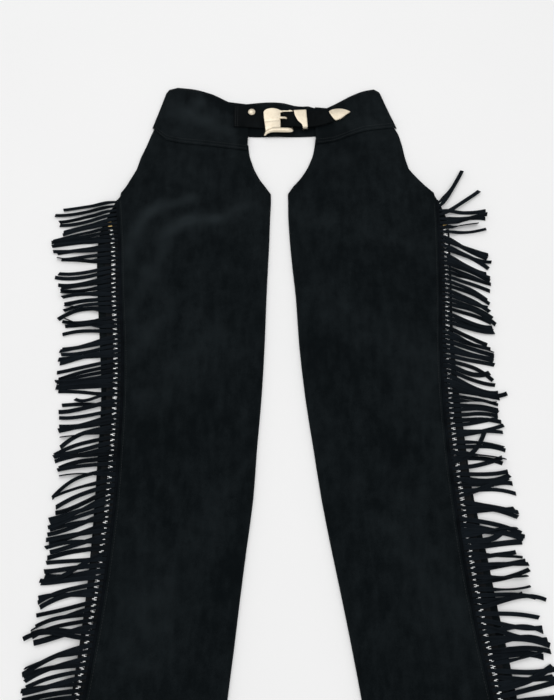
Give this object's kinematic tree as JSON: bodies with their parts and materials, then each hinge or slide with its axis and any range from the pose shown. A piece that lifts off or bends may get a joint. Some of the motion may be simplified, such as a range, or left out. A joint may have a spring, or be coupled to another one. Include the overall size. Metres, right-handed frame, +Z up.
{
  "type": "fringed leather chaps",
  "caption": "Suede chaps laid flat front side up: two long legs on a curved yoke, a buckled waist belt, side zips and cut fringe down the outer edges.",
  "frame": {"origin": "middle of the bounding box's underside, on the surface the chaps lie on", "axes": "+Y towards the waist, -Y towards the hems, +X towards the wearer's left leg, +Z up out of the front side"},
  "size_m": [0.7312, 1.0618, 0.0139],
  "materials": {
    "black_suede": "napped suede",
    "fringe_suede": "cut suede strands",
    "strap_leather": "suede strap, edges worn smooth",
    "zip_tape": "woven tape",
    "nickel": "polished, warm",
    "zip_metal": "polished",
    "brass": "satin"
  },
  "bodies": {
    "garment": {"leg_front_left": "black_suede", "leg_front_right": "black_suede", "leg_back_left": "black_suede", "leg_back_right": "black_suede", "yoke_front_left": "black_suede", "yoke_front_right": "black_suede", "yoke_back": "black_suede", "fringe_left": "fringe_suede", "fringe_right": "fringe_suede", "belt_billet": "strap_leather", "belt_chape": "strap_leather", "zip_tape_front_left": "zip_tape", "zip_tape_front_right": "zip_tape", "zip_tape_back_left": "zip_tape", "zip_tape_back_right": "zip_tape", "buckle_frame": "nickel", "buckle_prong": "nickel", "belt_keeper": "nickel", "strap_tip": "nickel", "rivet_cap": "nickel", "zip_chain_left": "zip_metal", "zip_chain_right": "zip_metal", "zip_stop_left": "zip_metal", "zip_stop_right": "zip_metal", "zip_slider_left": "zip_metal", "zip_slider_right": "zip_metal", "zip_box_left": "brass", "zip_box_right": "brass"},
    "pull_left": {"zip_pull_left": "zip_metal"},
    "pull_right": {"zip_pull_right": "zip_metal"}
  },
  "joints": [
    {"name": "pull_left_hinge", "type": "hinge", "parent": "garment", "child": "pull_left", "pos_m": [-0.26646, -0.4888, 0.0083], "axis": [-0.9957, 0.0923, 0], "range_deg": [0, 165]},
    {"name": "pull_right_hinge", "type": "hinge", "parent": "garment", "child": "pull_right", "pos_m": [0.29266, -0.4888, 0.0083], "axis": [-0.9932, -0.1166, 0], "range_deg": [0, 165]}
  ]
}
